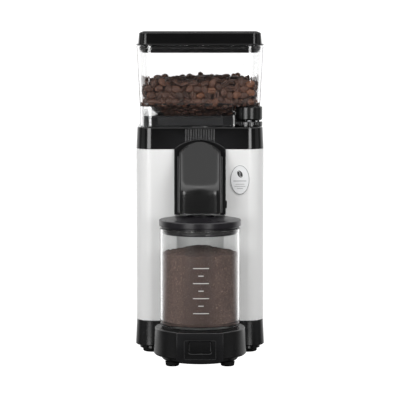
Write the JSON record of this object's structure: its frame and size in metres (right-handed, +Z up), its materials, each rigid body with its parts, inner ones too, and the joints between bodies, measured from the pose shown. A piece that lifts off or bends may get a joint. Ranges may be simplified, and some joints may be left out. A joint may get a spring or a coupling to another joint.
{
  "type": "burr coffee grinder",
  "caption": "Upright burr coffee grinder: painted body, clear lidded bean hopper, side grind knob, slanted chute and a lidded glass jar on a round platform.",
  "frame": {"origin": "on the surface that the feet stand on, in the middle of the bounding box", "axes": "+Z up, -Y out of the front where the jar stands, +X towards the side with the grind knob"},
  "size_m": [0.135, 0.26, 0.3392],
  "materials": {
    "white_paint": "satin white powder coat",
    "black_plastic": "fine satin texture",
    "chute_plastic": "satin",
    "lid_plastic": "matt, slightly soft",
    "clear_plastic": "clear, polished",
    "jar_glass": "clear, polished",
    "rubber": "matt",
    "steel": "machined",
    "cast_metal": "as cast",
    "copper": "enamelled windings",
    "board": "solder resist",
    "badge": "printed"
  },
  "bodies": {
    "housing": {"base_housing": "black_plastic", "bottom_cover": "black_plastic", "front_foot_left": "rubber", "front_foot_right": "rubber", "middle_foot_left": "rubber", "middle_foot_right": "rubber", "rear_foot_left": "rubber", "rear_foot_right": "rubber", "base_screw_left_1": "steel", "base_screw_left_2": "steel", "base_screw_right_1": "steel", "base_screw_right_2": "steel", "support_post_left_1": "steel", "support_post_left_2": "steel", "support_post_right_1": "steel", "support_post_right_2": "steel", "switch_panel": "black_plastic", "button_spring": "steel", "switch_module": "chute_plastic", "circuit_board": "board", "cable_gland": "rubber", "jar_mat": "rubber", "body_shell": "white_paint", "badge": "badge", "top_collar": "black_plastic", "top_plate": "steel", "hopper_base": "black_plastic", "scale_ring": "black_plastic", "burr_chamber": "cast_metal", "motor_mount": "steel", "motor_can": "steel", "motor_end_cap": "cast_metal", "upper_bearing": "steel", "lower_bearing": "steel", "stator": "copper", "chute_frame": "black_plastic"},
    "rotor": {"motor_shaft": "steel", "rotor_core": "steel", "cooling_fan": "chute_plastic", "burr_carrier": "cast_metal", "lower_burr": "steel", "burr_nut": "steel"},
    "adjuster": {"adjusting_ring": "cast_metal", "upper_burr": "steel", "burr_screw_1": "steel", "burr_screw_2": "steel", "burr_screw_3": "steel"},
    "knob": {"adjust_knob": "black_plastic", "knob_spindle": "steel"},
    "hopper": {"hopper": "clear_plastic"},
    "hopper_lid": {"hopper_lid": "black_plastic", "hopper_lid_seal": "rubber"},
    "chute_cover": {"chute_cover": "chute_plastic"},
    "release_tab": {"release_tab": "black_plastic"},
    "jar": {"jar_glass": "jar_glass"},
    "jar_lid": {"jar_lid": "lid_plastic", "jar_lid_seal": "rubber"},
    "power_button": {"power_button": "black_plastic"}
  },
  "joints": [
    {"name": "rotor_spin", "type": "hinge", "parent": "housing", "child": "rotor", "pos_m": [0, 0.01975, 0.12], "axis": [0, 0, 1], "continuous": true},
    {"name": "adjuster_turn", "type": "hinge", "parent": "housing", "child": "adjuster", "pos_m": [0, 0.01975, 0.23], "axis": [0, 0, 1], "range_deg": [-23, 23]},
    {"name": "knob_turn", "type": "hinge", "parent": "housing", "child": "knob", "pos_m": [0.0514, -0.024, 0.25], "axis": [0, 0, 1], "range_deg": [-150, 150]},
    {"name": "hopper_lift", "type": "slide", "parent": "housing", "child": "hopper", "axis": [0, 0, 1], "range_m": [0, 0.06]},
    {"name": "hopper_lid_lift", "type": "slide", "parent": "hopper", "child": "hopper_lid", "axis": [0, 0, 1], "range_m": [0, 0.05]},
    {"name": "chute_cover_pull", "type": "slide", "parent": "housing", "child": "chute_cover", "axis": [0, -1, 0], "range_m": [0, 0.04]},
    {"name": "release_tab_press", "type": "slide", "parent": "housing", "child": "release_tab", "axis": [-1, 0, 0], "range_m": [0, 0.001], "stiffness_N_per_m": 400},
    {"name": "jar_slide", "type": "slide", "parent": "housing", "child": "jar", "axis": [0, -1, 0], "range_m": [0, 0.1]},
    {"name": "jar_lid_lift", "type": "slide", "parent": "jar", "child": "jar_lid", "axis": [0, 0, 1], "range_m": [0, 0.001]},
    {"name": "power_button_press", "type": "slide", "parent": "housing", "child": "power_button", "axis": [0, 1, 0], "range_m": [0, 0.0025], "stiffness_N_per_m": 500, "deforming": ["button_spring"]}
  ],
  "couplings": [
    {"joint": "knob_turn", "follows": "adjuster_turn", "ratio": -6.5}
  ]
}
